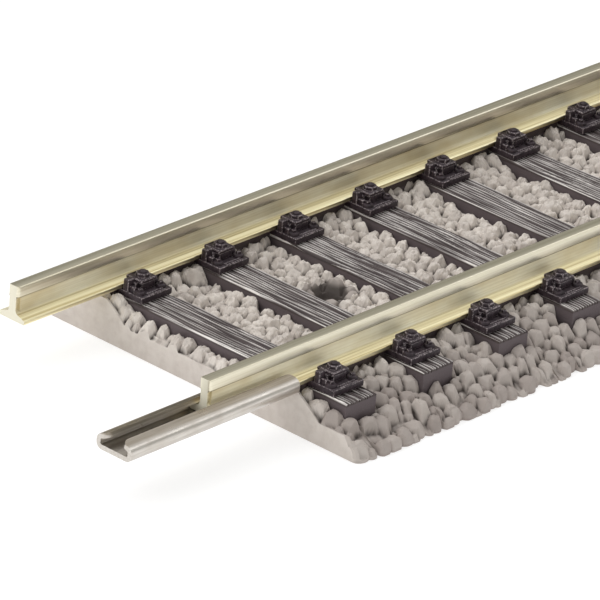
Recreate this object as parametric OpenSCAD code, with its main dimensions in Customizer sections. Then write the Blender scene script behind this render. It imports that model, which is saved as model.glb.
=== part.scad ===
// Straight track section for model railways of 16.5 mm gauge: two flat-bottom
// rails held by clamps on sleepers, a moulded ballast bed under them, and one
// sliding joiner at each end, on opposite rails.
// X runs along the track, Y across it and Z up. The origin is the middle of the
// bed's underside. Sizes are in millimetres.

/* [Track] */
// Clear distance between the two rail heads
gauge = 16.5; // [16.2:0.05:17]
// Number of sleepers
sleeper_count = 13; // [5:1:15]
// Distance from one sleeper's centre to the next
sleeper_pitch = 7.5; // [6.5:0.1:9]
// Distance from a rail's end to the first sleeper's centre
end_space = 10.6; // [10.2:0.1:12]

/* [Rail] */
// Height of the rail
rail_h = 2.5; // [2.3:0.05:2.8]
// Width of the rail head
head_w = 0.9; // [0.8:0.05:1.1]
// Height of the rail head
head_h = 0.75; // [0.6:0.05:0.9]
// Thickness of the rail's web
web_t = 0.6; // [0.4:0.05:0.7]
// Width of the rail foot
foot_w = 2.3; // [2.1:0.05:2.5]
// Thickness of the foot at its outer edge
foot_edge_t = 0.3; // [0.25:0.05:0.35]

/* [Sleepers] */
// Length of a sleeper, across the track
sleeper_l = 25.8; // [25:0.1:28]
// Width of a sleeper, along the track
sleeper_w = 2.9; // [2.4:0.1:3.2]
// Height of a sleeper
sleeper_h = 2.0; // [1.6:0.1:2.2]
// Number of grain grooves along a sleeper's top
grooves = 7; // [3:1:9]

/* [Ballast bed] */
// Width of the bed where it meets the ground
bed_w = 31.2; // [30:0.1:38]
// Height of the rail foot above the ground
foot_z = 3.6; // [3.4:0.1:4.5]
// Length of bare rail beyond the bed at each end
bare_rail = 8.0; // [7.8:0.1:8.4]
// Radius of a track nail hole
nail_r = 0.65; // [0.5:0.05:0.8]

/* [Joiners] */
// Length of a joiner
joiner_l = 15.6; // [14:0.1:15.8]
// Thickness of the joiner's sheet metal
joiner_t = 0.35; // [0.25:0.05:0.4]
// Gap between the joiner and the rail foot
joiner_gap = 0.05; // [0.04:0.01:0.06]

/* [Hidden] */
$fn = 48;

// Rail
rail_y = (gauge + head_w) / 2;
rail_l = (sleeper_count - 1) * sleeper_pitch + 2 * end_space;
foot_slope = 19;
foot_root_y = web_t / 2 + 0.1;
foot_root_z = foot_edge_t + (foot_w / 2 - foot_root_y) * tan(foot_slope);
fillet_z = foot_root_z + 0.2;
head_bevel = 0.1;

// Sleepers, their chairs and the strips that join them
plate_t = 0.5;
plate_reach = 3.05;
overlap = 0.01;
sleeper_top = foot_z - plate_t;
groove_w = 0.12;
groove_d = 0.15;
strip_w = 1.4;
strip_gap = 0.1;
strip_end = 0.5;
lug_l = 0.65;
lug_t = 0.5;
lug_gap = 0.08;
lug_top = 0.8;
low_lug_top = 0.3;
clamp_l = 1.5;
clamp_t = 0.28;
clamp_lap = 0.35;
clamp_reach = 2.25;
clamp_z = 0.46;
bolt_r = 0.28;
bolt_top = 1.15;
nut_r = 0.5;
nut_h = 0.28;
bolt_y = 1.72;
screw_r = 0.36;
screw_h = 0.35;
screw_y = 2.4;
screw_x = 1.0;

// Ballast bed
bed_l = rail_l - 2 * bare_rail;
edge_h = 0.25;
shoulder_y = sleeper_l / 2 + 0.1;
shoulder_z = 1.0;
rail_seat_z = 2.0;
rail_seat_w = 2.0;
middle_z = 1.7;
middle_y = rail_y - 1.9;
corner_r = 0.8;
pocket_gap = 0.04;
pad_l = 0.6;
pad_w = 2.0;
pad_base_w = 6.0;
pad_top = foot_z - joiner_gap - joiner_t - 0.05;
nail_x = (sleeper_count / 2 - 2) * sleeper_pitch;
recess_d = 0.8;
recess_rib = 1.6;
recess_w = 5.6;

// Joiners
joiner_home = bare_rail - 0.5;
bend_r = 0.3;
bend_step = 15;
lip_y = 0.6;
side_y = foot_w / 2 + joiner_gap + joiner_t / 2;
base_z = -joiner_gap - joiner_t / 2;
lip_bend_z = foot_edge_t - 0.05;

// The left rail is on the +Y side. The front end is the -X end.
LEFT = 1;
RIGHT = -1;

function sleeper_name(i) = str("sleeper_", i < 10 ? "0" : "", i);

function sleeper_x(i) = (i - (sleeper_count + 1) / 2) * sleeper_pitch;

function mirrored(points) = [for (i = [len(points) - 1:-1:0]) [-points[i].x, points[i].y]];

// A prism with its outline in the YZ plane, centred on X
module along_track(length) {
    rotate([90, 0, 90])
        linear_extrude(height = length, center = true)
            children();
}

// A box centred on X and Y, standing on Z
module block(length, width, height) {
    translate([-length / 2, -width / 2, 0])
        cube([length, width, height]);
}

// Children at each sleeper, with their origin under the middle of one rail's foot
module at_chairs(side) {
    for (i = [1:sleeper_count])
        translate([sleeper_x(i), side * rail_y, foot_z])
            children();
}

// Children at each chair, on the outside and on the inside of the rail
module at_both_sides(side) {
    at_chairs(side)
        for (turn = [0, 180])
            rotate([0, 0, turn])
                children();
}

module rail_outline() {
    half = [
        [foot_w / 2, 0],
        [foot_w / 2, foot_edge_t],
        [foot_root_y, foot_root_z],
        [web_t / 2, fillet_z],
        [web_t / 2, rail_h - head_h - head_bevel],
        [head_w / 2, rail_h - head_h],
        [head_w / 2, rail_h - head_bevel],
        [head_w / 2 - head_bevel, rail_h]
    ];
    polygon(concat(half, mirrored(half)));
}

module rail(side) {
    color("khaki")
        translate([0, side * rail_y, foot_z])
            along_track(rail_l)
                rail_outline();
}

// One side of the joiner's folded sheet, at a distance from the sheet's middle
function joiner_side(off) = let (
    r = bend_r + off,
    x = side_y - bend_r,
    last = 90 - foot_slope,
    turn_x = x + bend_r * cos(last),
    turn_z = lip_bend_z + bend_r * sin(last),
    tip_z = turn_z + (turn_x - lip_y) * tan(foot_slope)
) concat(
    [for (a = [-90:bend_step:0]) [x + r * cos(a), base_z + bend_r + r * sin(a)]],
    [for (a = [0:bend_step:last]) [x + r * cos(a), lip_bend_z + r * sin(a)]],
    [[x + r * cos(last), lip_bend_z + r * sin(last)]],
    [[lip_y + off * cos(last), tip_z + off * sin(last)]]
);

module joiner_outline() {
    outside = joiner_side(joiner_t / 2);
    inside = joiner_side(-joiner_t / 2);
    half = concat(outside, [for (i = [len(inside) - 1:-1:0]) inside[i]]);
    polygon(concat(half, mirrored(half)));
}

// A joiner on the rail at one side, half on the rail's end at x = end * rail_l / 2
module joiner(side, end) {
    centre_x = end * (rail_l / 2 - joiner_home + joiner_l / 2);
    color("silver")
        translate([centre_x, side * rail_y, foot_z])
            along_track(joiner_l)
                joiner_outline();
}

module sleeper(i) {
    spacing = sleeper_w / (grooves + 1);
    color("dimgray")
        translate([sleeper_x(i), 0, sleeper_top - sleeper_h])
            difference() {
                block(sleeper_w, sleeper_l, sleeper_h);
                for (k = [1:grooves])
                    translate([k * spacing - sleeper_w / 2, 0, sleeper_h - groove_d])
                        block(groove_w, sleeper_l + 1, 1);
            }
}

// Strips under one rail: between each two sleepers, and a stub beyond the end ones
module sleeper_strip(side) {
    gap_l = sleeper_pitch - sleeper_w;
    strip_h = foot_z - strip_gap - rail_seat_z;
    color("dimgray")
        translate([0, side * rail_y, rail_seat_z]) {
            for (i = [1:sleeper_count - 1])
                translate([sleeper_x(i) + sleeper_pitch / 2, 0, 0])
                    block(gap_l, strip_w, strip_h);
            for (end = [-1, 1])
                translate([end * (sleeper_x(sleeper_count) + (sleeper_w + strip_end) / 2), 0, 0])
                    block(strip_end, strip_w, strip_h);
        }
}

// Base plates between one rail's foot and the sleepers, with a tall lug at one
// corner of the foot, a low one at the other, and the same turned round inside
module base_plates(side) {
    color("dimgray") {
        at_chairs(side)
            translate([0, 0, -plate_t])
                block(sleeper_w, 2 * plate_reach, plate_t);
        at_both_sides(side) {
            lug(1, lug_top);
            lug(-1, low_lug_top);
        }
    }
}

// A lug beside the rail foot, at the plate's end towards end * X
module lug(end, height) {
    x = end * (sleeper_w - lug_l) / 2;
    y = foot_w / 2 + lug_gap + lug_t / 2;
    translate([x, y, -overlap])
        block(lug_l, lug_t, height + overlap);
}

// Clamp plates that hold the rail foot down, each with a toe over the foot
module clamp_plates(side) {
    toe_y = foot_w / 2 - clamp_lap;
    heel_y = foot_w / 2 + lug_gap;
    color("dimgray")
        at_both_sides(side)
            difference() {
                translate([-clamp_l / 2, toe_y, 0])
                    cube([clamp_l, clamp_reach - toe_y, clamp_z + clamp_t]);
                translate([-clamp_l, 0, -1])
                    cube([2 * clamp_l, heel_y, 1 + clamp_z]);
                translate([0, bolt_y, -1])
                    cylinder(r = bolt_r, h = 3);
            }
}

// Bolts through the clamp plates, with their hexagon nuts
module clamp_bolts(side) {
    color("dimgray")
        at_both_sides(side)
            translate([0, bolt_y, 0]) {
                cylinder(r = bolt_r, h = bolt_top);
                translate([0, 0, clamp_z + clamp_t])
                    cylinder(r = nut_r, h = nut_h, $fn = 6);
            }
}

// Screws at the outer corners of the base plates
module sleeper_screws(side) {
    color("dimgray")
        at_both_sides(side)
            for (x = [-screw_x, screw_x])
                translate([x, screw_y, 0])
                    cylinder(r = screw_r, h = screw_h);
}

module bed_outline() {
    half = [
        [bed_w / 2, 0],
        [bed_w / 2, edge_h],
        [shoulder_y, shoulder_z],
        [rail_y + rail_seat_w / 2, rail_seat_z],
        [rail_y - rail_seat_w / 2, rail_seat_z],
        [middle_y, middle_z]
    ];
    polygon(concat(half, mirrored(half)));
}

// Space for the sleepers in the top of the bed
module sleeper_pockets() {
    bottom = sleeper_top - sleeper_h;
    for (i = [1:sleeper_count])
        translate([sleeper_x(i), 0, bottom])
            block(sleeper_w + 2 * pocket_gap, sleeper_l + 2 * pocket_gap, sleeper_h);
}

// Shallow recesses in the underside, three to each space between two sleepers
module bed_recesses() {
    length = sleeper_pitch - recess_rib;
    for (i = [1:sleeper_count - 1], row = [-1, 0, 1]) {
        x = sleeper_x(i) + sleeper_pitch / 2;
        is_nail_place = row == 0 && abs(abs(x) - nail_x) < 1;
        if (!is_nail_place)
            translate([x, row * (recess_w + recess_rib), -1])
                block(length, recess_w, 1 + recess_d);
    }
}

// The bed's outline from above, with rounded corners
module bed_plan() {
    square([bed_l - 2 * corner_r, bed_w], center = true);
    square([bed_l, bed_w - 2 * corner_r], center = true);
    for (end = [-1, 1], side = [LEFT, RIGHT])
        translate([end * (bed_l / 2 - corner_r), side * (bed_w / 2 - corner_r)])
            circle(r = corner_r);
}

// The raised end of the bed under one rail
module end_pad() {
    along_track(pad_l)
        polygon([
            [-pad_base_w / 2, middle_z],
            [-pad_w / 2, pad_top],
            [pad_w / 2, pad_top],
            [pad_base_w / 2, middle_z]
        ]);
}

module bed_body() {
    intersection() {
        along_track(bed_l)
            bed_outline();
        linear_extrude(height = foot_z)
            bed_plan();
    }
    for (end = [-1, 1], side = [LEFT, RIGHT])
        translate([end * (bed_l - pad_l) / 2, side * rail_y, 0])
            end_pad();
}

module ballast_bed() {
    color("tan")
        difference() {
            bed_body();
            sleeper_pockets();
            bed_recesses();
            for (end = [-1, 1])
                translate([end * nail_x, 0, -1])
                    cylinder(r = nail_r, h = foot_z + 2);
        }
}

ballast_bed();
for (i = [1:sleeper_count])
    sleeper(i);
sleeper_strip(LEFT);  // sleeper_strip_left
sleeper_strip(RIGHT);  // sleeper_strip_right
base_plates(LEFT);  // base_plates_left
base_plates(RIGHT);  // base_plates_right
clamp_plates(LEFT);  // clamp_plates_left
clamp_plates(RIGHT);  // clamp_plates_right
clamp_bolts(LEFT);  // clamp_bolts_left
clamp_bolts(RIGHT);  // clamp_bolts_right
sleeper_screws(LEFT);  // sleeper_screws_left
sleeper_screws(RIGHT);  // sleeper_screws_right
rail(LEFT);  // rail_left
rail(RIGHT);  // rail_right
joiner(RIGHT, -1);  // joiner_front
joiner(LEFT, 1);  // joiner_rear
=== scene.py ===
"""Looks of the model track section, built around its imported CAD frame.

Shapes are worked out in millimetres and turned into metres when a mesh is made.
X runs along the track, Y across it and Z up, with the origin in the middle of
the bed's underside. The left rail is on the +Y side, the front end is at -X.
"""

import math

import bmesh
import bpy
import numpy as np
from mathutils import Matrix, Vector


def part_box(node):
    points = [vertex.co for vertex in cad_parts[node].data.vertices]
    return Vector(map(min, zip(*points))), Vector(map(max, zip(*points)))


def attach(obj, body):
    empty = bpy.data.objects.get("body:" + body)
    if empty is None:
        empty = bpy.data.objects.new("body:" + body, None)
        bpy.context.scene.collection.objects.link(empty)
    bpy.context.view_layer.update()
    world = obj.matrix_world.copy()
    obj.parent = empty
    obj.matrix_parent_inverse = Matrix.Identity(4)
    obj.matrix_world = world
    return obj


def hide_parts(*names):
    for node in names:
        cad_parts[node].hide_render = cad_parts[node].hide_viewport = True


MM = 0.001
WAVES = 5
TRACK = "track"
LEFT, RIGHT = 1, -1
SIDE_NAMES = {LEFT: "left", RIGHT: "right"}

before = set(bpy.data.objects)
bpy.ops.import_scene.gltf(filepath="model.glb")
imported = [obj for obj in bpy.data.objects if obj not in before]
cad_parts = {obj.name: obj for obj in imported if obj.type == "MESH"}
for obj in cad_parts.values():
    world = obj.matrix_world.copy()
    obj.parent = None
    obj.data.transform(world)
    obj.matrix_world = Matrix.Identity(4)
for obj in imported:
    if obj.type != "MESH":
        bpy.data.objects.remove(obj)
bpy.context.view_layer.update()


# ---------------------------------------------------------------- sizes, in millimetres


def span(node):
    """A CAD node's low and high corners."""
    low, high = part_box(node)
    return np.array(low) / MM, np.array(high) / MM


rail_low, rail_high = span("rail_left")
rail_end = rail_high[0]
rail_y = (rail_low[1] + rail_high[1]) / 2
foot_z = rail_low[2]
rail_h = rail_high[2] - foot_z
foot_w = rail_high[1] - rail_low[1]

sleeper_nodes = sorted(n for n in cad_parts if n[:8] == "sleeper_" and n[8:].isdigit())
sleeper_low, sleeper_high = span(sleeper_nodes[0])
sleeper_w = sleeper_high[0] - sleeper_low[0]
half_sleeper = sleeper_w / 2
sleeper_half = sleeper_high[1]
sleeper_bottom = sleeper_low[2]
sleeper_top = sleeper_high[2]
sleeper_xs = [(span(n)[0][0] + span(n)[1][0]) / 2 for n in sleeper_nodes]
pitch = sleeper_xs[1] - sleeper_xs[0]

_, bed_high = span("ballast_bed")
bed_end = bed_high[0]
bed_half = bed_high[1]

plate_low, plate_high = span("base_plates_left")
plate_reach = (plate_high[1] - plate_low[1]) / 2
plate_bottom = plate_low[2]

strip_low, strip_high = span("sleeper_strip_left")
strip_w = strip_high[1] - strip_low[1]
strip_reach = strip_high[0]


# ---------------------------------------------------------------- mesh helpers


class Shell:
    """Points, faces and face values gathered before they become one mesh."""

    def __init__(self):
        self.points = []
        self.faces = []
        self.painted_glint = []
        self.count = 0

    def add(self, points, faces, painted_glint):
        self.points.append(np.asarray(points, float))
        self.faces.extend([tuple(i + self.count for i in face) for face in faces])
        self.painted_glint.extend(painted_glint)
        self.count += len(points)

    def add_copy(self, solid, matrix):
        """A copy of (points, faces, wear), moved by a 4x4 matrix in millimetres."""
        points, faces, painted_glint = solid
        m = np.array(matrix)
        self.add(points @ m[:3, :3].T + m[:3, 3], faces, painted_glint)


def new_piece(name, points, faces, material):
    """A mesh object from points in millimetres."""
    mesh = bpy.data.meshes.new(name)
    mesh.from_pydata((np.asarray(points) * MM).tolist(), [], faces)
    mesh.materials.append(material)
    piece = bpy.data.objects.new(name, mesh)
    bpy.context.scene.collection.objects.link(piece)
    return piece


def shell_piece(name, shell, material):
    piece = new_piece(name, np.concatenate(shell.points), shell.faces, material)
    # face values that mark where painted glints go
    layer = piece.data.attributes.new("painted_glint", "FLOAT", "FACE")
    layer.data.foreach_set("value", shell.painted_glint)
    smooth_below(piece, 40)
    return piece


class Relief:
    """A surface whose points carry named values, built ring by ring."""

    def __init__(self, keys):
        self.points = []
        self.values = {key: [] for key in keys}
        self.faces = []
        self.count = 0

    def add(self, points, **values):
        """Adds points with one value each, or one for all, and returns their numbers."""
        points = np.asarray(points, float)
        first = self.count
        self.points.append(points)
        for key, store in self.values.items():
            store.append(np.broadcast_to(values[key], len(points)))
        self.count += len(points)
        return list(range(first, self.count))

    def join_rings(self, lower, upper):
        """Quads between two rings that go the same way round."""
        for k in range(len(lower)):
            nxt = (k + 1) % len(lower)
            self.faces.append((lower[k], lower[nxt], upper[nxt], upper[k]))

    def piece(self, name, material):
        piece = new_piece(name, np.concatenate(self.points), self.faces, material)
        for key, store in self.values.items():
            layer = piece.data.attributes.new(key, "FLOAT", "POINT")
            layer.data.foreach_set("value", np.concatenate(store))
        return piece


def smooth_below(piece, degrees):
    """Smooth shading, with the edges that turn more than the angle left sharp."""
    bm = bmesh.new()
    bm.from_mesh(piece.data)
    bmesh.ops.recalc_face_normals(bm, faces=bm.faces)
    limit = math.radians(degrees)
    for face in bm.faces:
        face.smooth = True
    for edge in bm.edges:
        edge.smooth = edge.calc_face_angle(0) < limit
    bm.to_mesh(piece.data)
    bm.free()


def bevel(piece, width, segments, degrees):
    """Rounds the piece's sharp edges, width in millimetres."""
    rounding = piece.modifiers.new("rounding", "BEVEL")
    rounding.width = width * MM
    rounding.segments = segments
    rounding.limit_method = "ANGLE"
    rounding.angle_limit = math.radians(degrees)


def place(piece, body, node):
    """The piece rides on a body and stands for a CAD node."""
    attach(piece, body)
    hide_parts(node)


def rounded(corners, step_degrees=15):
    """A closed outline through corners (x, y, radius), each turned into an arc."""
    outline = []
    for i, (x, y, radius) in enumerate(corners):
        corner = Vector((x, y))
        before = (Vector(corners[i - 1][:2]) - corner).normalized()
        after = (Vector(corners[(i + 1) % len(corners)][:2]) - corner).normalized()
        if radius == 0:
            outline.append((x, y))
            continue
        half = before.angle(after) / 2
        centre = corner + (before + after).normalized() * radius / math.sin(half)
        start = corner + before * radius / math.tan(half) - centre
        turn = math.copysign(math.pi - 2 * half, before.cross(after) * -1)
        steps = max(2, round(abs(math.degrees(turn)) / step_degrees))
        for k in range(steps + 1):
            arm = Matrix.Rotation(turn * k / steps, 2) @ start
            outline.append(tuple(centre + arm))
    return outline


def mirrored(half):
    """A half outline at x > 0, with its mirror image joined on."""
    return half + [(-x, y, r) for x, y, r in reversed(half)]


def tube_faces(rings, around):
    """Quads between rings of points, each ring going round once."""
    return [
        (r * around + k, r * around + (k + 1) % around,
         (r + 1) * around + (k + 1) % around, (r + 1) * around + k)
        for r in range(rings - 1)
        for k in range(around)
    ]


def capped_tube(rings):
    """Points and faces of a closed solid through rings of equal size."""
    around = len(rings[0])
    faces = tube_faces(len(rings), around)
    faces.append(tuple(reversed(range(around))))
    faces.append(tuple(range((len(rings) - 1) * around, len(rings) * around)))
    return np.concatenate([np.asarray(r, float) for r in rings]), faces


def bevelled(points, faces, width):
    """(points, faces, face values) of a closed solid with rounded edges; the value, which marks where
    painted glints go, is 1 on the rounds.
    """
    bm = bmesh.new()
    verts = [bm.verts.new(p) for p in points]
    for face in faces:
        bm.faces.new([verts[i] for i in face])
    bmesh.ops.recalc_face_normals(bm, faces=bm.faces)
    sharp = [e for e in bm.edges if e.calc_face_angle(0) > math.radians(30)]
    made = bmesh.ops.bevel(
        bm, geom=sharp, offset=width, segments=2, profile=0.5, affect="EDGES", clamp_overlap=True,
    )
    rounds = set(made["faces"])
    bm.verts.index_update()
    out = (
        np.array([v.co[:] for v in bm.verts]),
        [tuple(v.index for v in f.verts) for f in bm.faces],
        [1.0 if f in rounds else 0.0 for f in bm.faces],
    )
    bm.free()
    return out


def block(low, high, width, taper=0.0):
    """A box with rounded edges; its top is smaller than its foot by taper on each side."""
    (x0, y0, z0), (x1, y1, z1) = low, high
    foot = [(x0, y0, z0), (x1, y0, z0), (x1, y1, z0), (x0, y1, z0)]
    t = taper
    top = [(x0 + t, y0 + t, z1), (x1 - t, y0 + t, z1), (x1 - t, y1 - t, z1), (x0 + t, y1 - t, z1)]
    return bevelled(*capped_tube([foot, top]), width)


def circle(radius, z, sides, turn=0.0):
    """Points round the Z axis."""
    angles = [turn + 2 * math.pi * k / sides for k in range(sides)]
    return [(radius * math.cos(a), radius * math.sin(a), z) for a in angles]


def prism(radius, z0, z1, sides, width, turn=0.0):
    """An upright prism round the Z axis with rounded edges."""
    return bevelled(*capped_tube([circle(radius, z, sides, turn) for z in (z0, z1)]), width)


def lathe(profile, sides=20):
    """A closed solid of revolution from (radius, z) points, the first and last with no hole."""
    points, faces = capped_tube([circle(radius, z, sides) for radius, z in profile])
    return points, faces, [0.0] * len(faces)


def waves(rng, t, shortest, longest):
    """A smooth random curve over t, roughly from -1 to 1."""
    total = np.zeros_like(t)
    for _ in range(WAVES):
        length = rng.uniform(shortest, longest)
        total += np.sin(2 * math.pi * (t / length + rng.random()))
    return total * 1.1 / math.sqrt(WAVES)


def lines(stops, step):
    """Grid lines through all the stops, about a step apart between them."""
    parts = []
    for a, b in zip(stops, stops[1:]):
        parts.append(np.linspace(a, b, max(1, round((b - a) / step)), endpoint=False))
    parts.append([stops[-1]])
    return np.concatenate(parts)


# ---------------------------------------------------------------- materials


class Nodes:
    """A node tree, with short calls for the nodes used here."""

    def __init__(self, tree):
        self.tree = tree

    def node(self, kind, inputs=(), **settings):
        node = self.tree.nodes.new(kind)
        for key, value in settings.items():
            setattr(node, key, value)
        for key, value in dict(inputs).items():
            self.feed(node.inputs[key], value)
        return node

    def feed(self, socket, value):
        if isinstance(value, bpy.types.NodeSocket):
            self.tree.links.new(value, socket)
        else:
            socket.default_value = value

    def ramp(self, value, low, high, to_low=0.0, to_high=1.0):
        inputs = {
            "Value": value, "From Min": low, "From Max": high,
            "To Min": to_low, "To Max": to_high,
        }
        return self.node("ShaderNodeMapRange", inputs).outputs["Result"]

    def mix(self, share, first, second):
        node = self.node("ShaderNodeMix", data_type="RGBA")
        self.feed(node.inputs["Factor"], share)
        self.feed(node.inputs[6], first)
        self.feed(node.inputs[7], second)
        return node.outputs[2]

    def math(self, operation, first, second=0.0):
        node = self.node("ShaderNodeMath", operation=operation)
        self.feed(node.inputs[0], first)
        self.feed(node.inputs[1], second)
        return node.outputs[0]


class Surface(Nodes):
    """A material: its shader, and patterns in object coordinates."""

    def __init__(self, name):
        self.material = bpy.data.materials.new(name)
        self.material.use_nodes = True
        super().__init__(self.material.node_tree)
        self.shader = self.tree.nodes["Principled BSDF"]
        self.place = self.node("ShaderNodeTexCoord").outputs["Object"]

    def set(self, **inputs):
        for key, value in inputs.items():
            self.feed(self.shader.inputs[key.replace("_", " ")], value)

    def stretched(self, x, y, z):
        """Object coordinates with a scale along each axis."""
        node = self.node("ShaderNodeMapping", {"Vector": self.place, "Scale": (x, y, z)})
        return node.outputs["Vector"]

    def noise(self, size, detail=3.0, roughness=0.5, vector=None):
        """Noise with features of a size in millimetres, 0 to 1."""
        inputs = {
            "Vector": vector or self.place,
            "Scale": 1 / (size * MM),
            "Detail": detail,
            "Roughness": roughness,
        }
        return self.node("ShaderNodeTexNoise", inputs).outputs["Fac"]

    def attribute(self, name):
        return self.node("ShaderNodeAttribute", attribute_name=name).outputs["Fac"]

    def by_height(self, zero_at, full_at, full=1.0):
        """0 at one height above the ground in millimetres, rising to full at another."""
        split = self.node("ShaderNodeSeparateXYZ", {"Vector": self.place})
        return self.ramp(split.outputs["Z"], zero_at * MM, full_at * MM, 0.0, full)

    def band(self, low, high, blend):
        """1 between two heights, fading to 0 over blend outside them, in millimetres."""
        above = self.by_height(low - blend, low)
        return self.math("MULTIPLY", above, self.by_height(high + blend, high))

    def bump(self, height, depth, strength=1.0, below=None):
        """A normal from a height pattern whose full swing is depth millimetres."""
        node = self.node("ShaderNodeBump", {
            "Height": height, "Strength": strength, "Distance": depth * MM,
        })
        if below is not None:
            self.feed(node.inputs["Normal"], below)
        return node.outputs["Normal"]


def srgb(red, green, blue):
    """A linear colour from 0-255 display values."""
    def linear(c):
        c /= 255
        return c / 12.92 if c <= 0.04045 else ((c + 0.055) / 1.055) ** 2.4
    return (linear(red), linear(green), linear(blue), 1.0)


def rail_material():
    """Drawn nickel silver: fine lines along the rail, a dull web, a yellower foot, and a painted shadow
    line under the head.
    """
    n = Surface("rail_nickel_silver")
    drawn = n.noise(0.15, 3, 0.5, n.stretched(0.005, 1, 1))
    cloud = n.noise(2.2, 3, 0.55, n.stretched(0.5, 1, 1))
    fine = n.noise(0.3, 3, 0.6)
    root_z = foot_z + FOOT_ROOT_Z
    head_z = foot_z + rail_h - HEAD_H
    web = n.band(root_z + 0.04, head_z - 0.07, 0.12)
    under_head_shade = n.band(head_z - 0.13, head_z, 0.04)
    foot = n.by_height(root_z + 0.06, root_z - 0.06)
    head = n.mix(n.ramp(drawn, 0.3, 0.7), srgb(226, 219, 194), srgb(244, 238, 218))
    dull = n.mix(n.ramp(cloud, 0.35, 0.68), srgb(255, 250, 226), srgb(232, 218, 180))
    dull = n.mix(n.ramp(drawn, 0.4, 0.6, 0.0, 0.3), dull, srgb(206, 191, 150))
    yellow = n.mix(n.ramp(drawn, 0.36, 0.6), srgb(206, 190, 142), srgb(252, 244, 206))
    colour = n.mix(foot, n.mix(web, head, dull), yellow)
    # painted shadow: a darker line along the web just under the head
    colour = n.mix(n.math("MULTIPLY", under_head_shade, n.ramp(drawn, 0.3, 0.6, 0.35, 0.85)),
                   colour, srgb(120, 104, 78))
    cut = n.attribute("cut")
    rough = n.math("ADD", n.ramp(drawn, 0.25, 0.75, 0.3, 0.36), n.math("MULTIPLY", web, 0.2))
    clean = n.math("MULTIPLY", n.math("SUBTRACT", 1.0, n.math("MULTIPLY", web, 0.6)),
                   n.math("SUBTRACT", 1.0, n.math("MULTIPLY", cut, 0.6)))
    n.set(Base_Color=n.mix(cut, colour, srgb(236, 231, 212)), Metallic=clean)
    n.set(Roughness=n.math("MAXIMUM", rough, n.math("MULTIPLY", cut, 0.55)))
    drawn_lines = n.bump(drawn, 0.005, 0.3)
    n.set(Normal=n.bump(fine, 0.002, 0.15, drawn_lines))
    return n.material


def joiner_material():
    """Rolled nickel strip, folded, with faint rolling lines and dull lips."""
    n = Surface("joiner_nickel")
    rolled = n.noise(0.13, 4, 0.6, n.stretched(0.03, 1, 1))
    patch = n.noise(1.4, 3, 0.5)
    fine = n.noise(0.2, 2, 0.5)
    colour = n.mix(n.ramp(rolled, 0.3, 0.7), srgb(196, 190, 182), srgb(220, 215, 208))
    colour = n.mix(n.ramp(patch, 0.45, 0.75, 0.0, 0.4), colour, srgb(184, 174, 162))
    lip = n.by_height(foot_z + 0.66, foot_z + 0.74, 0.85)
    dull = n.mix(n.ramp(rolled, 0.35, 0.65), srgb(146, 135, 120), srgb(170, 160, 146))
    n.set(Base_Color=n.mix(lip, colour, dull), Metallic=1.0)
    n.set(Roughness=n.ramp(patch, 0.3, 0.7, 0.26, 0.36))
    n.set(Normal=n.bump(fine, 0.008, 0.35, n.bump(rolled, 0.006, 0.5)))
    return n.material


def sleeper_material():
    """Dark brown-grey plastic with painted highlights on its grain crests and painted shade in the
    grooves between them.
    """
    n = Surface("sleeper_plastic")
    streak = n.noise(0.13, 4, 0.6, n.stretched(1, 0.06, 1))
    cloud = n.noise(2.5, 2, 0.5)
    speck = n.noise(0.09, 2, 0.5)
    body = n.mix(n.ramp(streak, 0.3, 0.7), srgb(62, 52, 52), srgb(84, 74, 74))
    body = n.mix(n.ramp(cloud, 0.4, 0.7, 0.0, 0.3), body, srgb(104, 95, 92))
    body = n.mix(n.ramp(speck, 0.68, 0.74, 0.0, 0.5), body, srgb(170, 160, 155))
    # painted light: the sleeper's sides below its top are painted lighter, standing in for light falling
    # on them
    sides = n.by_height(sleeper_top - 0.2, sleeper_top - 0.3, 0.6)
    body = n.mix(sides, body, srgb(110, 100, 104))
    # painted shade in the grooves, where the crest value is below 0
    body = n.mix(n.ramp(n.attribute("crest_glint_groove_shade"), 0.0, -0.8), body, srgb(44, 36, 36))
    # painted highlights on the crests
    lit_crests = n.ramp(n.attribute("crest_glint_groove_shade"), 0.05, 0.85)
    crest_glint_groove_shade = n.math("MULTIPLY", lit_crests, n.ramp(streak, 0.25, 0.5, 0.75, 1.0))
    n.set(Base_Color=n.mix(crest_glint_groove_shade, body, srgb(244, 239, 235)))
    n.set(Roughness=n.ramp(streak, 0.3, 0.7, 0.5, 0.65), Specular_IOR_Level=0.3)
    n.set(Normal=n.bump(speck, 0.012, 0.4, n.bump(streak, 0.03, 0.6)))
    return n.material


def chair_material():
    """Near-black brown plastic with lumpy satin faces and painted glints on its rounded edges."""
    n = Surface("chair_plastic")
    lump = n.noise(0.32, 3, 0.6)
    speck = n.noise(0.11, 3, 0.6)
    body = n.mix(n.ramp(lump, 0.35, 0.7), srgb(42, 33, 38), srgb(68, 56, 62))
    # painted glints: bright specks on the marked rounds and rims
    edge = n.math("MULTIPLY", n.attribute("painted_glint"), n.ramp(speck, 0.46, 0.6, 0.04, 0.6))
    n.set(Base_Color=n.mix(edge, body, srgb(196, 184, 186)))
    n.set(Roughness=n.ramp(speck, 0.3, 0.7, 0.34, 0.52), Specular_IOR_Level=0.32)
    n.set(Normal=n.bump(lump, 0.09, 0.8, n.bump(speck, 0.02, 0.5)))
    return n.material


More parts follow.
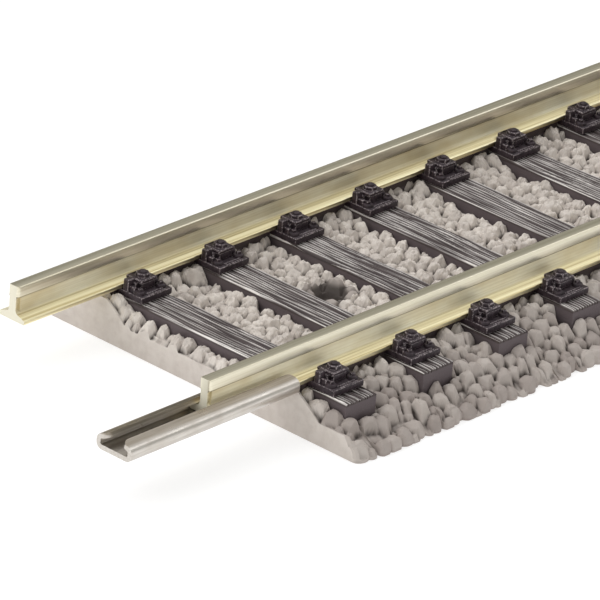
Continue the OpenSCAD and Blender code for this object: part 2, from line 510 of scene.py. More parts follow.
def ballast_material():
    """Matt moulded stone: a tone for each stone, painted shade on the shoulder stones, and painted shade
    in the gaps and the nail craters.
    """
    n = Surface("ballast_plastic")
    grit = n.noise(0.12, 4, 0.6)
    cloud = n.noise(0.7, 3, 0.55)
    stone = n.mix(n.attribute("tone"), srgb(148, 137, 132), srgb(224, 216, 208))
    stone = n.mix(n.ramp(cloud, 0.4, 0.7, 0.0, 0.35), stone, srgb(172, 160, 152))
    # painted shade in the gaps and the craters
    n.set(Base_Color=n.mix(n.attribute("cavity"), stone, srgb(58, 50, 46)))
    n.set(Roughness=n.ramp(grit, 0.3, 0.7, 0.55, 0.78), Specular_IOR_Level=0.35)
    n.set(Normal=n.bump(grit, 0.03, 0.5, n.bump(cloud, 0.05, 0.4)))
    return n.material


def floor_material():
    """A white studio table lit from inside, so that shadows stay faint; clear from below."""
    n = Surface("floor_white")
    broad = n.noise(60, 2, 0.5)
    n.set(Base_Color=n.mix(n.ramp(broad, 0.3, 0.7), srgb(186, 186, 186), srgb(190, 190, 190)))
    n.set(Roughness=n.ramp(broad, 0.3, 0.7, 0.8, 0.9), Specular_IOR_Level=0.1)
    n.set(Emission_Color=(1.0, 1.0, 1.0, 1.0), Emission_Strength=0.62)
    mix = n.node("ShaderNodeMixShader", {
        0: n.node("ShaderNodeNewGeometry").outputs["Backfacing"],
        1: n.shader.outputs["BSDF"],
        2: n.node("ShaderNodeBsdfTransparent").outputs["BSDF"],
    })
    n.feed(n.tree.nodes["Material Output"].inputs["Surface"], mix.outputs["Shader"])
    return n.material


# ---------------------------------------------------------------- rails

FOOT_EDGE_Z = 0.3
FOOT_ROOT_Z = 0.56
WEB_Y = 0.3
HEAD_Y = 0.45
HEAD_H = 0.75
END_ROUND = 0.22
GROOVE_X = 0.24
GROOVE_L = 0.34
GROOVE_D = 0.17


def rail_outline():
    """The rail's section, from the middle of its foot's underside."""
    head_z = rail_h - HEAD_H
    half = [
        (foot_w / 2, 0, 0.06),
        (foot_w / 2, FOOT_EDGE_Z, 0.08),
        (WEB_Y + 0.1, FOOT_ROOT_Z, 0.03),
        (WEB_Y, FOOT_ROOT_Z + 0.2, 0.08),
        (WEB_Y, head_z - 0.1, 0.06),
        (HEAD_Y, head_z, 0.04),
        (HEAD_Y, rail_h, 0.1),
    ]
    return rounded(mirrored(half))


def rail_rings():
    """Outlines along the rail: heads rounded off at the ends, a stamped groove by each end."""
    outline = np.array(rail_outline())
    width, z = np.abs(outline[:, 0]), outline[:, 1]
    in_web = (z > FOOT_ROOT_Z + 0.1) & (z < rail_h - HEAD_H - 0.1)
    in_head = z > rail_h - HEAD_H - 0.05
    near = END_ROUND * (1 - np.cos(np.linspace(0, math.pi / 2, 5)))
    groove = GROOVE_X + GROOVE_L * np.array([-0.5, -0.4, 0.4, 0.5])
    end = np.unique(np.round(np.concatenate([near, groove]), 4))
    stations = np.concatenate([end, np.linspace(1.0, 2 * rail_end - 1.0, 56), 2 * rail_end - end[::-1]])
    rings = []
    for s in stations:
        from_end = min(s, 2 * rail_end - s)
        open_share = math.sqrt(1 - (1 - min(from_end / END_ROUND, 1)) ** 2)
        limit = WEB_Y + (HEAD_Y - WEB_Y) * open_share
        depth = float(np.interp(from_end, groove, [0, GROOVE_D, GROOVE_D, 0]))
        reach = np.where(in_head, np.minimum(width, limit), width) - np.where(in_web, depth, 0)
        x = np.full(len(z), s - rail_end)
        rings.append(np.column_stack([x, np.sign(outline[:, 0]) * reach, z]))
    return rings


def make_rail(side, material):
    points, faces = capped_tube(rail_rings())
    points = points + (0, side * rail_y, foot_z)
    rail = new_piece(f"rail_{SIDE_NAMES[side]}_drawn", points, faces, material)
    cut = rail.data.attributes.new("cut", "FLOAT", "FACE")
    cut.data.foreach_set("value", [float(len(face) > 4) for face in faces])
    smooth_below(rail, 32)
    bevel(rail, 0.03, 2, 60)
    place(rail, TRACK, f"rail_{SIDE_NAMES[side]}")


# ---------------------------------------------------------------- joiners


SHEET_T = 0.35
JOINER_GAP = 0.05
BEND_R = 0.3
LIP_SLOPE = math.radians(19)
LIP_Z = 0.25
LIP_Y = 0.6
LIP_CORNER_R = 0.5


def joiner_half():
    """Middle line of the folded sheet from its centre to one lip: points and normals.

    The last entry of each row says how far along the straight lip it lies, 0 to 1.
    """
    bend_y = foot_w / 2 + JOINER_GAP + SHEET_T / 2 - BEND_R
    base_z = -JOINER_GAP - SHEET_T / 2
    last = math.pi / 2 - LIP_SLOPE
    rows = [(y, base_z, 0, -1, 0) for y in np.linspace(0, bend_y, 6)]
    lower_bend = np.radians(np.linspace(-90, 0, 7)[1:])
    for bend_z, angles in ((base_z + BEND_R, lower_bend), (LIP_Z, np.linspace(0, last, 6))):
        for a in angles:
            y, z = math.cos(a), math.sin(a)
            rows.append((bend_y + BEND_R * y, bend_z + BEND_R * z, y, z, 0))
    turn_y, turn_z = rows[-1][:2]
    rise = (turn_y - LIP_Y) * math.tan(LIP_SLOPE)
    for share in np.linspace(0, 1, 6)[1:]:
        rows.append((turn_y + (LIP_Y - turn_y) * share, turn_z + rise * share,
                     math.cos(last), math.sin(last), share))
    return np.array(rows)


def sheet_outline(rows, x):
    """The folded sheet's section: outside from lip to lip, then back along the inside."""
    lines_across = []
    for sign in (1, -1):
        edge = rows[:, :2] + sign * rows[:, 2:4] * SHEET_T / 2
        lines_across.append(np.concatenate([(edge * (-1, 1))[:0:-1], edge]))
    ring = np.concatenate([lines_across[0], lines_across[1][::-1]])
    return np.column_stack([np.full(len(ring), x), ring])


def make_joiner(node, side, material, body):
    low, high = span(node)
    half = joiner_half()
    straight = half[:, 4] > 0
    start, tip = half[~straight][-1, :2], half[-1, :2]
    lip_l = math.dist(start, tip)
    length = high[0] - low[0]
    near = LIP_CORNER_R * (1 - np.cos(np.linspace(0, math.pi / 2, 7)))
    stations = np.concatenate([near, np.linspace(1.0, length - 1.0, 20), length - near[::-1]])
    rings = []
    for s in stations:
        in_corner = max(LIP_CORNER_R - min(s, length - s), 0)
        cut = LIP_CORNER_R - math.sqrt(LIP_CORNER_R**2 - in_corner**2)
        rows = half.copy()
        share = rows[straight, 4:5] * (1 - cut / lip_l)
        rows[straight, :2] = start + (tip - start) * share
        rings.append(sheet_outline(rows, low[0] + s) + (0, side * rail_y, foot_z))
    around = len(rings[0])
    faces = tube_faces(len(rings), around)
    for first in (0, (len(rings) - 1) * around):
        for k in range(around // 2 - 1):
            corners = (k, k + 1, around - 2 - k, around - 1 - k)
            faces.append(tuple(first + i for i in corners))
    joiner = new_piece(f"{node}_folded", np.concatenate(rings), faces, material)
    smooth_below(joiner, 40)
    bevel(joiner, 0.06, 3, 50)
    place(joiner, body, node)


# ---------------------------------------------------------------- sleepers and their strips

CRESTS = 11
FINE_CRESTS = 12
CREST_H = 0.09
DIP_D = 0.14


def grain(rng, x, y):
    """Heights below the sleeper's top over a grid, and a painted light value: 1 is a painted highlight
    on crests, -1 is painted shade in grooves.
    """
    along = y[0]
    height = np.full(x.shape, -CREST_H)
    crest_glint_groove_shade = np.zeros(x.shape)
    wander = waves(rng, along, 9, 26) * 0.07
    for k in range(CRESTS):
        place_x = sleeper_w * ((k + 0.5 + rng.uniform(-0.2, 0.2)) / CRESTS - 0.5)
        line = place_x + wander + waves(rng, along, 5, 15) * 0.03
        strength = np.clip(0.85 + 0.45 * waves(rng, along, 5, 14), 0, 1)
        near = np.exp(-(((x - line) / rng.uniform(0.027, 0.038)) ** 2))
        height += near * strength * CREST_H
        crest_glint_groove_shade += near * strength * rng.uniform(0.7, 1.0)
        dip = line + rng.uniform(0.08, 0.13)
        depth = np.clip(0.7 + 0.5 * waves(rng, along, 4, 12), 0, 1)
        in_dip = np.exp(-(((x - dip) / 0.06) ** 2)) * depth
        height -= in_dip * DIP_D
        crest_glint_groove_shade -= in_dip * 0.8
    for _ in range(FINE_CRESTS):
        line = rng.uniform(-0.5, 0.5) * sleeper_w + waves(rng, along, 6, 15) * 0.05
        strength = np.clip(waves(rng, along, 3, 9), 0, 1)
        near = np.exp(-(((x - line) / 0.025) ** 2)) * strength
        height += near * 0.03
        crest_glint_groove_shade += near * 0.5
    # painted highlight: a bright line along the sleeper's -X top edge
    edge = np.exp(-(((x + sleeper_w / 2 - 0.03) / 0.032) ** 2))
    crest_glint_groove_shade += edge * np.clip(0.5 + 0.5 * waves(rng, along, 6, 16), 0, 1)
    return height, np.clip(crest_glint_groove_shade, -1, 1)


def make_sleeper(node, rng, material):
    (x0, _, _), (x1, _, _) = span(node)
    xs = lines([x0, x1], 0.03)
    ys = lines([-sleeper_half, sleeper_half], 0.27)
    x, y = np.meshgrid(xs, ys, indexing="ij")
    height, crest_glint_groove_shade = grain(rng, x - (x0 + x1) / 2, y)
    from_edge = np.minimum.reduce([x - x0, x1 - x, y + sleeper_half, sleeper_half - y])
    height -= 0.04 * np.exp(-from_edge / 0.03)
    top = np.column_stack([x.ravel(), y.ravel(), sleeper_top + height.ravel()])
    index = np.arange(x.size).reshape(x.shape)
    rim = rim_of(index)
    solid = Relief(("crest_glint_groove_shade",))
    solid.add(top, crest_glint_groove_shade=crest_glint_groove_shade.ravel())
    solid.faces += grid_faces(index)
    below = solid.add(top[rim] - (0, 0, 0.04), crest_glint_groove_shade=0)
    bottom = solid.add(top[rim] * (1, 1, 0) + (0, 0, sleeper_bottom), crest_glint_groove_shade=0)
    solid.join_rings(below, rim)
    solid.join_rings(bottom, below)
    solid.faces.append(tuple(reversed(bottom)))
    piece = solid.piece(f"{node}_grained", material)
    smooth_below(piece, 60)
    place(piece, TRACK, node)


def grid_faces(index, keep=None):
    """Upward quads over a grid of vertex numbers, only where keep is true."""
    quads = np.stack([index[:-1, :-1], index[1:, :-1], index[1:, 1:], index[:-1, 1:]], -1)
    kept = quads.reshape(-1, 4) if keep is None else quads[keep]
    return [tuple(q) for q in kept.tolist()]


def rim_of(index):
    """Vertex numbers round a grid's edge, anticlockwise from above."""
    return np.concatenate([index[:-1, 0], index[-1, :-1], index[:0:-1, -1], index[0, :0:-1]]).tolist()


def make_strip(side, material):
    """The low webs that join the sleepers under one rail, with a stub beyond each end."""
    shell = Shell()
    z0, z1 = strip_low[2], strip_high[2]
    y = side * rail_y
    starts = [-strip_reach] + [x + half_sleeper for x in sleeper_xs]
    ends = [x - half_sleeper for x in sleeper_xs] + [strip_reach]
    for x0, x1 in zip(starts, ends):
        solid = block((x0, y - strip_w / 2, z0), (x1, y + strip_w / 2, z1), 0.06)
        shell.add(*solid)
    name = f"sleeper_strip_{SIDE_NAMES[side]}"
    place(shell_piece(f"{name}_moulded", shell, material), TRACK, name)


# ---------------------------------------------------------------- chairs

LUG_T = 0.5
LUG_L = 0.65
LUG_TOP = 0.8
RIM_W = 0.09
CLAMP_LAP = 0.35
NUT_R = 0.5
SCREW_X = 1.0
SCREW_Y = 2.4
SUNK_Z = -0.1

lug_y = foot_w / 2 + 0.08
clamp_low, clamp_high = span("clamp_plates_left")
clamp_reach = (clamp_high[1] - clamp_low[1]) / 2
clamp_top = clamp_high[2] - foot_z
bolt_low, bolt_high = span("clamp_bolts_left")
bolt_y = (bolt_high[1] - bolt_low[1]) / 2 - NUT_R
bolt_top = bolt_high[2] - foot_z
screw_top = span("sleeper_screws_left")[1][2] - foot_z


def at_chairs(rng, side, shell, solids, wobble=0.02):
    """Copies of solids at each sleeper, on the outside and the inside of one rail."""
    for x in sleeper_xs:
        for turn in (0, math.pi):
            shift = rng.uniform(-wobble, wobble, 2)
            place_at = Matrix.Translation((x + shift[0], side * rail_y + shift[1], foot_z))
            matrix = place_at @ Matrix.Rotation(turn, 4, "Z")
            for solid in solids:
                shell.add_copy(solid, matrix)


def moved(solid, x, y):
    points, faces, painted_glint = solid
    return points + np.array((x, y, 0)), faces, painted_glint


def glint_all(solid):
    """The same solid with painted glints marked on all its faces."""
    points, faces, _ = solid
    return points, faces, [1.0] * len(faces)


def chair_plates(rng, side):
    """Base plates with a tall and a low lug, a rib, and a double rim at the outer edge that carries
    painted glints.
    """
    plates = Shell()
    thick = foot_z - plate_bottom
    base = block((-half_sleeper, -plate_reach, -thick), (half_sleeper, plate_reach, -0.04), 0.05)
    for x in sleeper_xs:
        plates.add_copy(base, Matrix.Translation((x, side * rail_y, foot_z)))
    rims = [
        glint_all(block((-0.9, edge - RIM_W, -0.2), (0.75, edge, 0.02), 0.025))
        for edge in (plate_reach - 0.05, plate_reach - 0.27)
    ]
    lug_edge = lug_y + LUG_T
    tall = block((half_sleeper - LUG_L, lug_y, SUNK_Z), (half_sleeper, lug_edge, LUG_TOP), 0.07, 0.03)
    low = block((-half_sleeper, lug_y, SUNK_Z), (LUG_L - half_sleeper, lug_edge, 0.3), 0.07, 0.03)
    rib_x = half_sleeper - 0.15
    rib = block((rib_x - 0.35, lug_edge - 0.1, SUNK_Z), (rib_x, lug_edge + 0.45, 0.35), 0.06, 0.04)
    filling = block((0.4, lug_y, SUNK_Z), (half_sleeper - 0.5, lug_edge + 0.2, 0.5), 0.08, 0.06)
    knob = moved(lathe([(0.2, SUNK_Z), (0.2, 0.22), (0.12, 0.32), (0.04, 0.34)], 10), -1.05, 1.85)
    at_chairs(rng, side, plates, rims + [tall, low, rib, filling, knob], 0.0)
    return plates


def chair_clamps(rng, side):
    """Clamp plates with a toe on the rail foot and a heel on the plate."""
    clamps = Shell()
    toe_y = foot_w / 2 - CLAMP_LAP
    arm = block((-0.75, toe_y, 0.46), (0.75, clamp_reach, clamp_top), 0.08)
    heel = block((-0.62, lug_y, 0.0), (0.62, clamp_reach - 0.04, 0.5), 0.06)
    toe = block((-0.45, toe_y + 0.02, 0.44), (0.45, toe_y + 0.32, clamp_top), 0.06, 0.03)
    at_chairs(rng, side, clamps, [arm, heel, toe])
    return clamps


def chair_bolts(rng, side):
    """Bolts with a washer and a hexagon nut."""
    bolts = Shell()
    nut = prism(NUT_R, clamp_top - 0.04, clamp_top + 0.26, 6, 0.06)
    washer = prism(NUT_R + 0.04, clamp_top - 0.12, clamp_top + 0.04, 16, 0.03)
    tip = bolt_top
    shank = lathe([(0.2, 0.5), (0.27, 0.52), (0.27, tip - 0.07), (0.22, tip - 0.02), (0.1, tip)])
    at_chairs(rng, side, bolts, [moved(s, 0, bolt_y) for s in (nut, washer, shank)])
    return bolts


def chair_screws(rng, side):
    """Round-headed screws with a raised square, at the base plates' outer corners."""
    screws = Shell()
    head = lathe([(0.3, SUNK_Z), (0.38, -0.08), (0.38, 0.06), (0.33, 0.14), (0.2, 0.18)])
    square = prism(0.2, 0.1, screw_top, 4, 0.03, 0.4)
    places = [(x, SCREW_Y) for x in (-SCREW_X, SCREW_X)]
    at_chairs(rng, side, screws, [moved(s, x, y) for s in (head, square) for x, y in places])
    return screws


def make_chairs(side, rng, material):
    name = SIDE_NAMES[side]
    for node, build in (
        (f"base_plates_{name}", chair_plates),
        (f"clamp_plates_{name}", chair_clamps),
        (f"clamp_bolts_{name}", chair_bolts),
        (f"sleeper_screws_{name}", chair_screws),
    ):
        piece = shell_piece(f"{node}_moulded", build(rng, side), material)
        place(piece, TRACK, node)


# ---------------------------------------------------------------- ballast bed

GRID_STEP = 0.08
POCKET_GAP = 0.04
WALL = 0.02
CORNER_R = 0.8
SIDE_R = 0.45
NAIL_R = 0.65
CRATER_R = 0.95
CRATER_TURN = math.radians(135)
PATCH = 1.6
END_LEDGE = 0.3
EDGE_SLACK = 1.3
SHOULDER_Y = 10.5
KNOB_H = 0.12
RECESS_RIB = 1.6
RECESS_W = 5.6
RECESS_D = 0.8
UNDER_TONE = 0.6
TINY = 1e-6


def nail_places():
    """Nail holes lie on the centre line, two spaces in from each end sleeper."""
    x = (sleeper_xs[1] + sleeper_xs[2]) / 2
    return [(x, 0.0), (-x, 0.0)]


def stone_level(y):
    """Mean height of the stones' tops at a distance from the centre line."""
    return np.interp(np.abs(y), [0, 6.4, 7.2, 10.0, 10.8, 12.9, 14.3, 15.6],
                     [2.6, 2.65, 3.15, 3.15, 2.8, 2.2, 1.3, 0.45])


def ground_level(x, y):
    """Height of the bed between the stones, and of its bare ledge at each end."""
    away = np.abs(y)
    level = stone_level(y) - np.interp(away, [0, 6, 13, 15.6], [0.8, 0.7, 0.75, 0.4])
    pad = np.interp(np.abs(away - rail_y), [0.9, 3.0], [3.1, 1.6])
    ledge = np.maximum(np.interp(away, [0, 5.6, 10.8, 13.0, 15.0], [1.75, 1.65, 1.7, 0.9, 0.15]), pad)
    at_end = np.clip((np.abs(x) - (bed_end - END_LEDGE)) / 0.1, 0, 1)
    return level * (1 - at_end) + ledge * at_end


def make_stone(rng, x, y, radius, top):
    """A stone as planes round an oblate, stretched body: caps, shoulders and sides."""
    rings = ((1, 66, 88), (4, 38, 60), (6, 14, 32))
    tilt, turn = [], []
    for count, low, high in rings:
        start = rng.uniform(0, 360)
        for k in range(count):
            tilt.append(rng.uniform(low, high))
            turn.append(start + (k + rng.uniform(-0.3, 0.3)) * 360 / count)
    tilt, turn = np.radians(tilt), np.radians(turn)
    normals = np.column_stack([np.cos(tilt) * np.cos(turn), np.cos(tilt) * np.sin(turn), np.sin(tilt)])
    stretch, heading = rng.uniform(1.0, 1.25), rng.uniform(0, math.pi)
    along = normals[:, 0] * math.cos(heading) + normals[:, 1] * math.sin(heading)
    across = normals[:, 1] * math.cos(heading) - normals[:, 0] * math.sin(heading)
    rise = rng.uniform(0.7, 0.95)
    size = np.sqrt((stretch * along) ** 2 + (across / stretch) ** 2 + (rise * normals[:, 2]) ** 2)
    reach = radius * size * rng.uniform(0.86, 1.04, len(size))
    return {
        "x": x, "y": y, "radius": radius * stretch, "z": top - radius * rise,
        "normals": normals, "reach": reach, "soft": radius * 0.045,
        # a random tone for each stone, plus painted shade: stones towards the shoulders get a darker
        # tone
        "tone": rng.uniform(-0.2, 0.2) + float(np.interp(abs(y), [9, 12], [0.88, 0.32])),
    }


def stone_top(stone, x, y):
    """Height of a stone's softened, faceted surface over points."""
    dx, dy = x - stone["x"], y - stone["y"]
    nx, ny, nz = stone["normals"].T
    planes = (stone["reach"] - dx[..., None] * nx - dy[..., None] * ny) / nz
    low = planes.min(-1)
    blend = np.exp((low[..., None] - planes) / stone["soft"]).sum(-1)
    return stone["z"] + low - stone["soft"] * np.log(blend)


def scatter(rng, placed, tries, sizes, spread):
    """Adds random stone places, none nearer than spread times the sum of their radii.

    The sizes are the lowest and highest radius near the sleepers, then on the shoulder.
    """
    taken = {}
    for x, y, r in placed:
        taken.setdefault((x // 1, y // 1), []).append((x, y, r))
    for _ in range(tries):
        x, y = rng.uniform(-bed_end, bed_end), rng.uniform(-bed_half, bed_half)
        r = rng.uniform(*sizes[abs(y) >= SHOULDER_Y])
        if not stone_may_stand(x, y, r):
            continue
        i, j = x // 1, y // 1
        cells = [(i + a, j + b) for a in range(-2, 3) for b in range(-2, 3)]
        near = [s for cell in cells for s in taken.get(cell, ())]
        if all((x - a) ** 2 + (y - b) ** 2 > (spread * (r + s)) ** 2 for a, b, s in near):
            taken.setdefault((i, j), []).append((x, y, r))
            placed.append((x, y, r))
    return placed


def stone_may_stand(x, y, r):
    """True where a stone is clear of sleepers, nail holes and the bed's edges."""
    nearest = min(abs(x - s) for s in sleeper_xs)
    on_sleeper = nearest < sleeper_w / 2 + 0.3 * r and abs(y) < sleeper_half + 0.2 * r
    at_nail = any(math.hypot(x - nx, y - ny) < CRATER_R + 0.5 * r for nx, ny in nail_places())
    at_end = abs(x) > bed_end - 0.9 * r - 0.05
    at_side = abs(y) > bed_half - 0.85 * r
    return not (on_sleeper or at_nail or at_end or at_side)


def scatter_stones(rng):
    main = scatter(rng, [], 30000, ((0.38, 0.6), (0.44, 0.68)), 0.78)
    count = len(main)
    every = scatter(rng, list(main), 14000, ((0.24, 0.36), (0.28, 0.42)), 0.7)
    stones = []
    for k, (x, y, r) in enumerate(every):
        top = float(stone_level(y)) + (rng.normal(0, 0.13) if k < count else rng.uniform(-0.5, -0.2))
        near_rail = abs(abs(y) - rail_y) < foot_w / 2 + 0.8 * r
        top = min(top, foot_z - 0.12 if near_rail else sleeper_top + 0.25)
        stones.append(make_stone(rng, x, y, r, top))
    return stones


def side_edge(xs, stones, side):
    """How far out the bed reaches at ground level along one side, scalloped by its stones."""
    edge = np.full(len(xs), bed_half - EDGE_SLACK)
    for s in stones:
        if side * s["y"] > bed_half - 2.2:
            inside = s["radius"] ** 2 - (xs - s["x"]) ** 2
            reach = side * s["y"] + np.sqrt(np.maximum(inside, 0))
            edge = np.where(inside > 0, np.maximum(edge, reach), edge)
    edge = np.minimum(edge, bed_half - 0.05)
    corner = np.clip(CORNER_R - (bed_end - np.abs(xs)), 0, CORNER_R)
    return np.minimum(edge, bed_half - CORNER_R + np.sqrt(CORNER_R**2 - corner**2) - 0.005)


def bed_grid(stones):
    """Grid lines, the grid's points in plan, and each point's distance from the bed's side."""
    half_w = sleeper_w / 2 + POCKET_GAP
    x_stops = [-bed_end, -bed_end + END_LEDGE, bed_end - END_LEDGE, bed_end]
    for s in sleeper_xs:
        x_stops += [s - half_w - WALL, s - half_w, s + half_w, s + half_w + WALL]
    for nx, _ in nail_places():
        x_stops += [nx - PATCH, nx + PATCH]
    pocket = sleeper_half + POCKET_GAP
    strip = strip_w / 2 + POCKET_GAP
    shoulder = pocket + WALL
    half_stops = [PATCH, rail_y - strip - WALL, rail_y - strip, rail_y + strip,
                  rail_y + strip + WALL, pocket, shoulder, bed_half]
    xs = lines(sorted(x_stops), GRID_STEP)
    ys = lines(sorted(half_stops + [-h for h in half_stops]), GRID_STEP)
    x, y = np.meshgrid(xs, ys, indexing="ij")
    to_side = np.zeros(x.shape)
    for side in (LEFT, RIGHT):
        edge = side_edge(xs, stones, side)[:, None]
        share = (side * y - shoulder) / (bed_half - shoulder)
        y = np.where(share > 0, side * (shoulder + share * (edge - shoulder)), y)
        to_side = np.where(side * y >= 0, edge - side * y, to_side)
    return xs, ys, x, y, to_side


def raise_stones(stones, xs, ys, x, y):
    """Stone heights and tones, with the painted shade on the shoulders, over the grid; far below ground
    where there is no stone.
    """
    height = np.full(x.shape, -9.0)
    tone = np.full(x.shape, 0.5)
    side_warp = 0.5
    for s in stones:
        reach = s["radius"] * 1.25
        i0, i1 = np.searchsorted(xs, (s["x"] - reach, s["x"] + reach))
        j0, j1 = np.searchsorted(ys, (s["y"] - reach - side_warp, s["y"] + reach + side_warp))
        window = np.s_[i0:i1, j0:j1]
        top = stone_top(s, x[window], y[window])
        higher = top > height[window]
        height[window] = np.where(higher, top, height[window])
        tone[window] = np.where(higher, s["tone"], tone[window])
    return height, tone


def in_pockets(x, y):
    """True over the spaces for the sleepers."""
    nearest = np.min([np.abs(x - s) for s in sleeper_xs], axis=0)
    across = np.abs(y) < sleeper_half + POCKET_GAP + TINY
    return (nearest < sleeper_w / 2 + POCKET_GAP + TINY) & across


def on_strips(x, y):
    across = np.abs(np.abs(y) - rail_y) < strip_w / 2 + POCKET_GAP + TINY
    return across & (np.abs(x) < strip_reach + POCKET_GAP)


def finish_heights(x, y, height, to_side):
    """Bed heights from stone heights: ground, rounded sides, craters, strips and pockets."""
    height = np.maximum(height, ground_level(x, y))
    inward = np.clip(to_side, 0, SIDE_R)
    rise = np.sqrt(SIDE_R**2 - (SIDE_R - inward) ** 2)
    height = np.minimum(height, 0.3 + 1.5 * rise + 1.6 * (to_side - inward))
    for nx, ny in nail_places():
        turn = np.arctan2(y - ny, x - nx)
        r = np.hypot(x - nx, y - ny)
        wobble = 0.22 * np.sin(3 * turn + 1) + 0.16 * np.sin(5 * turn)
        r = NAIL_R + (r - NAIL_R) * (1 + wobble - 0.45 * np.cos(turn - CRATER_TURN))
        bowl = np.interp(r, [NAIL_R, 0.85, CRATER_R, CRATER_R + 0.3], [1.2, 1.5, 1.9, 2.6])
        height = np.where(r < CRATER_R + 0.3, np.minimum(height, bowl), height)
    height = np.where(on_strips(x, y), strip_low[2] - 0.01, height)
    return np.where(in_pockets(x, y), sleeper_bottom - 0.01, height)


def blurred(values, reach):
    """Values averaged over a square of grid cells."""
    size = 2 * reach + 1
    for _ in ("x", "y"):
        total = np.cumsum(np.pad(values, ((reach + 1, reach), (0, 0)), mode="edge"), axis=0)
        values = ((total[size:] - total[:-size]) / size).T
    return values


def make_ballast(material):
    rng = np.random.default_rng(41)
    stones = scatter_stones(rng)
    xs, ys, x, y, to_side = bed_grid(stones)
    height, tone = raise_stones(stones, xs, ys, x, y)
    knobs = blurred(rng.normal(0, 1, x.shape), 1) - blurred(rng.normal(0, 1, x.shape), 3)
    height += KNOB_H * knobs * np.interp(np.abs(y), [8, 12], [1.0, 0.2])
    z = finish_heights(x, y, height, to_side)
    # painted shade: darker where the surface lies below its blurred surroundings, in the gaps between
    # stones
    filled = np.where(in_pockets(x, y) | on_strips(x, y), stone_level(y) - 0.25, z)
    cavity = np.clip((blurred(filled, 4) - z - 0.05) / 0.2, 0, 1) * np.clip(to_side / 0.5, 0, 1)

    bed = Relief(("tone", "cavity"))
    points = np.column_stack([x.ravel(), y.ravel(), z.ravel()])
    bed.add(points, tone=tone.ravel(), cavity=cavity.ravel())
    index = np.arange(x.size).reshape(x.shape)
    keep = np.ones((len(xs) - 1, len(ys) - 1), bool)
    loops = []
    for nx, ny in nail_places():
        i0, i1 = np.searchsorted(xs, (nx - PATCH - TINY, nx + PATCH - TINY))
        j0, j1 = np.searchsorted(ys, (ny - PATCH - TINY, ny + PATCH - TINY))
        keep[i0:i1, j0:j1] = False
        rim = rim_of(index[i0:i1 + 1, j0:j1 + 1])
        loops.append(add_crater(bed, stones, (nx, ny), rim, points[rim]))
    bed.faces += grid_faces(index, keep)

    rim = rim_of(index)
    at_end = np.abs(points[rim, 0]) > bed_end - TINY
    wall_tone = np.where(at_end, 0.8, tone.ravel()[rim])
    below = bed.add(points[rim] - (0, 0, 0.03), tone=wall_tone, cavity=0)
    skirt = bed.add(points[rim] * (1, 1, 0) + (0, 0, 0.05), tone=wall_tone - 0.2, cavity=0)
    foot = bed.add(points[rim] * (1, 1, 0), tone=UNDER_TONE, cavity=0)
    for upper, lower in zip((rim, below, skirt), (below, skirt, foot)):
        bed.join_rings(lower, upper)
    loops.append(foot)
    loops += add_recesses(bed)
    piece = bed.piece("ballast_moulded", material)
    close_underside(piece, loops)
    place(piece, TRACK, "ballast_bed")


def add_crater(bed, stones, centre, rim, ring):
    """A round patch of bed from the square rim to the nail hole, and the hole's wall."""
    centre = np.array(centre)
    arms = ring[:, :2] - centre
    unit = arms / np.linalg.norm(arms, axis=1)[:, None]
    near = [s for s in stones if math.hypot(s["x"] - centre[0], s["y"] - centre[1]) < 3]
    outer = rim
    for share in np.linspace(0, 1, 20)[1:]:
        plan = centre + arms * (1 - share) + unit * NAIL_R * share
        px, py = plan.T
        tops = np.max([stone_top(s, px, py) for s in near], axis=0)
        heights = finish_heights(px, py, tops, np.full(len(px), bed_half))
        # painted shade: the crater gets a dark tone and is painted darker the deeper it lies; the hole's
        # wall is fully dark
        crater_shade = np.clip((2.6 - heights) / 0.4, 0, 0.85)
        inner = bed.add(np.column_stack([plan, heights]), tone=0.3, cavity=crater_shade)
        bed.join_rings(outer, inner)
        outer = inner
    wall = np.column_stack([centre + unit * NAIL_R, np.full(len(unit), 0.05)])
    inner = bed.add(wall, tone=0.3, cavity=1)
    foot = bed.add(wall * (1, 1, 0), tone=UNDER_TONE, cavity=0)
    bed.join_rings(outer, inner)
    bed.join_rings(inner, foot)
    return foot


def add_recesses(bed):
    """Moulding recesses in the underside, three to each space but none at a nail hole."""
    loops = []
    half_l, half_w = (pitch - RECESS_RIB) / 2, RECESS_W / 2
    steps = ((0.0, 0.0), (RECESS_D - 0.15, 0.05), (RECESS_D, 0.2))
    for left, right in zip(sleeper_xs, sleeper_xs[1:]):
        for row in (-1, 0, 1):
            x, y = (left + right) / 2, row * (RECESS_W + RECESS_RIB)
            if row == 0 and any(abs(x - nx) < 1 for nx, _ in nail_places()):
                continue
            rings = []
            for z, inset in steps:
                a, b = half_l - inset, half_w - inset
                outline = rounded([(-a, -b, 0.25), (a, -b, 0.25), (a, b, 0.25), (-a, b, 0.25)], 30)
                ring = [(x + u, y + v, z) for u, v in outline]
                rings.append(bed.add(ring, tone=UNDER_TONE, cavity=0))
            for lower, upper in zip(rings, rings[1:]):
                bed.join_rings(upper, lower)
            bed.faces.append(tuple(reversed(rings[-1])))
            loops.append(rings[0])
    return loops


def close_underside(piece, loops):
    """Fills the flat underside between its loops."""
    bm = bmesh.new()
    bm.from_mesh(piece.data)
    bm.verts.ensure_lookup_table()
    edges = [
        bm.edges.get((bm.verts[a], bm.verts[b]))
        for loop in loops
        for a, b in zip(loop, loop[1:] + loop[:1])
    ]
    bmesh.ops.triangle_fill(bm, use_beauty=True, use_dissolve=False, edges=edges, normal=(0, 0, -1))
    loose = [v for v in bm.verts if not v.link_faces]
    bmesh.ops.delete(bm, geom=loose, context="VERTS")
    bmesh.ops.recalc_face_normals(bm, faces=bm.faces)
    bm.to_mesh(piece.data)
    bm.free()


# ---------------------------------------------------------------- stage


def make_floor(material):
    bpy.ops.mesh.primitive_plane_add(size=6, location=(0, 0, -0.02 * MM))
    floor = bpy.context.object
    floor.name = "floor"
    floor.data.materials.append(material)


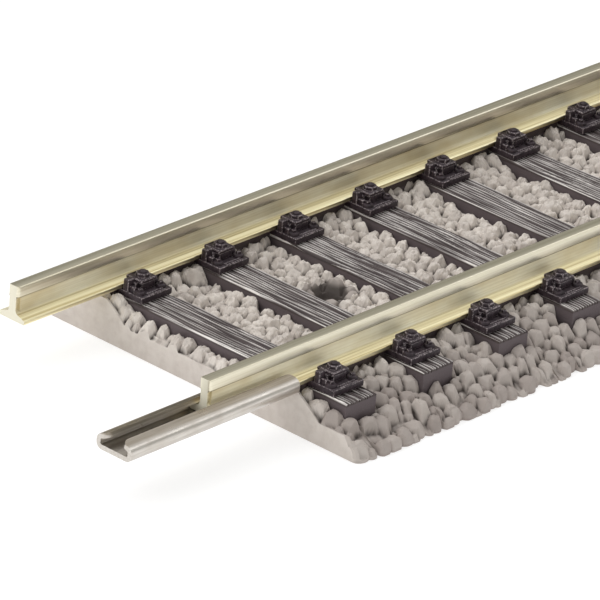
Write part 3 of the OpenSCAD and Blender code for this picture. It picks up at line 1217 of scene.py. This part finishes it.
def make_camera():
    """The photographer's view: long lens, low over the front end of the track."""
    aim = Vector((-38.24, -1.06, 3.6)) * MM
    azimuth = 40.95
    down = 25.49
    roll = math.radians(4.84)
    distance = 426.72 * MM
    look = direction(azimuth, -down)
    camera = bpy.data.objects.new("camera", bpy.data.cameras.new("camera"))
    camera.data.sensor_width = 36
    camera.data.lens = 36 / 2 / math.tan(math.radians(5.358) / 2)
    camera.data.clip_start = 0.01
    camera.location = aim - look * distance
    camera.rotation_mode = "QUATERNION"
    upright = look.to_track_quat("-Z", "Y")
    camera.rotation_quaternion = upright @ Matrix.Rotation(roll, 3, "Z").to_quaternion()
    bpy.context.scene.collection.objects.link(camera)
    bpy.context.scene.camera = camera


LIGHT_DISTANCE = 0.8
DARK_AT = (41, 15)


def direction(azimuth, elevation):
    """A unit vector from two angles in degrees."""
    a, e = math.radians(azimuth), math.radians(elevation)
    return Vector((math.cos(e) * math.cos(a), math.cos(e) * math.sin(a), math.sin(e)))


def make_light(name, azimuth, elevation, size, radiance):
    """An area light that faces the origin; radiance 1 looks like the white floor."""
    toward = direction(azimuth, elevation)
    light = bpy.data.objects.new(name, bpy.data.lights.new(name, "AREA"))
    light.data.shape = "RECTANGLE"
    light.data.size, light.data.size_y = size
    light.data.energy = radiance * math.pi * size[0] * size[1]
    light.location = toward * LIGHT_DISTANCE
    light.rotation_mode = "QUATERNION"
    light.rotation_quaternion = (-toward).to_track_quat("-Z", "Y")
    bpy.context.scene.collection.objects.link(light)


def cosine(degrees):
    return math.cos(math.radians(degrees))


def make_world():
    """A soft white tent, grey towards the horizon and dark behind the track."""
    world = bpy.data.worlds.new("studio")
    world.use_nodes = True
    n = Nodes(world.node_tree)
    toward = n.node("ShaderNodeTexCoord").outputs["Generated"]
    split = n.node("ShaderNodeSeparateXYZ", {"Vector": toward})
    behind = n.node("ShaderNodeVectorMath", {0: toward, 1: direction(*DARK_AT)}, operation="DOT_PRODUCT")
    in_dark = n.ramp(behind.outputs["Value"], cosine(48), cosine(24))
    ring = n.mix(in_dark, (0.6, 0.6, 0.58, 1), (0.16, 0.155, 0.13, 1))
    from_left = n.ramp(split.outputs["Y"], -0.45, 0.1)
    tent = n.mix(from_left, (0.4, 0.4, 0.4, 1), (1.0, 1.0, 1.0, 1))
    in_tent = n.ramp(split.outputs["Z"], cosine(90 - 29), cosine(90 - 46))
    n.feed(n.tree.nodes["Background"].inputs["Color"], n.mix(in_tent, ring, tent))
    bpy.context.scene.world = world


def make_lights():
    make_light("overhead", 90, 82, (0.5, 0.5), 0.9)
    make_light("front_softbox", 142, 42, (0.7, 0.5), 1.6)
    make_light("edge_softbox", -22, 40, (0.5, 0.2), 1.4)


# ---------------------------------------------------------------- assembly

rail_look = rail_material()
joiner_look = joiner_material()
sleeper_look = sleeper_material()
chair_look = chair_material()
ballast_look = ballast_material()

random = np.random.default_rng(7)
for side in (LEFT, RIGHT):
    make_rail(side, rail_look)
    make_strip(side, sleeper_look)
    make_chairs(side, random, chair_look)
for node in sleeper_nodes:
    make_sleeper(node, random, sleeper_look)
make_joiner("joiner_front", RIGHT, joiner_look, "front_joiner")
make_joiner("joiner_rear", LEFT, joiner_look, "rear_joiner")
make_ballast(ballast_look)

make_floor(floor_material())
make_camera()
make_world()
make_lights()
bpy.context.scene.view_settings.view_transform = "Standard"
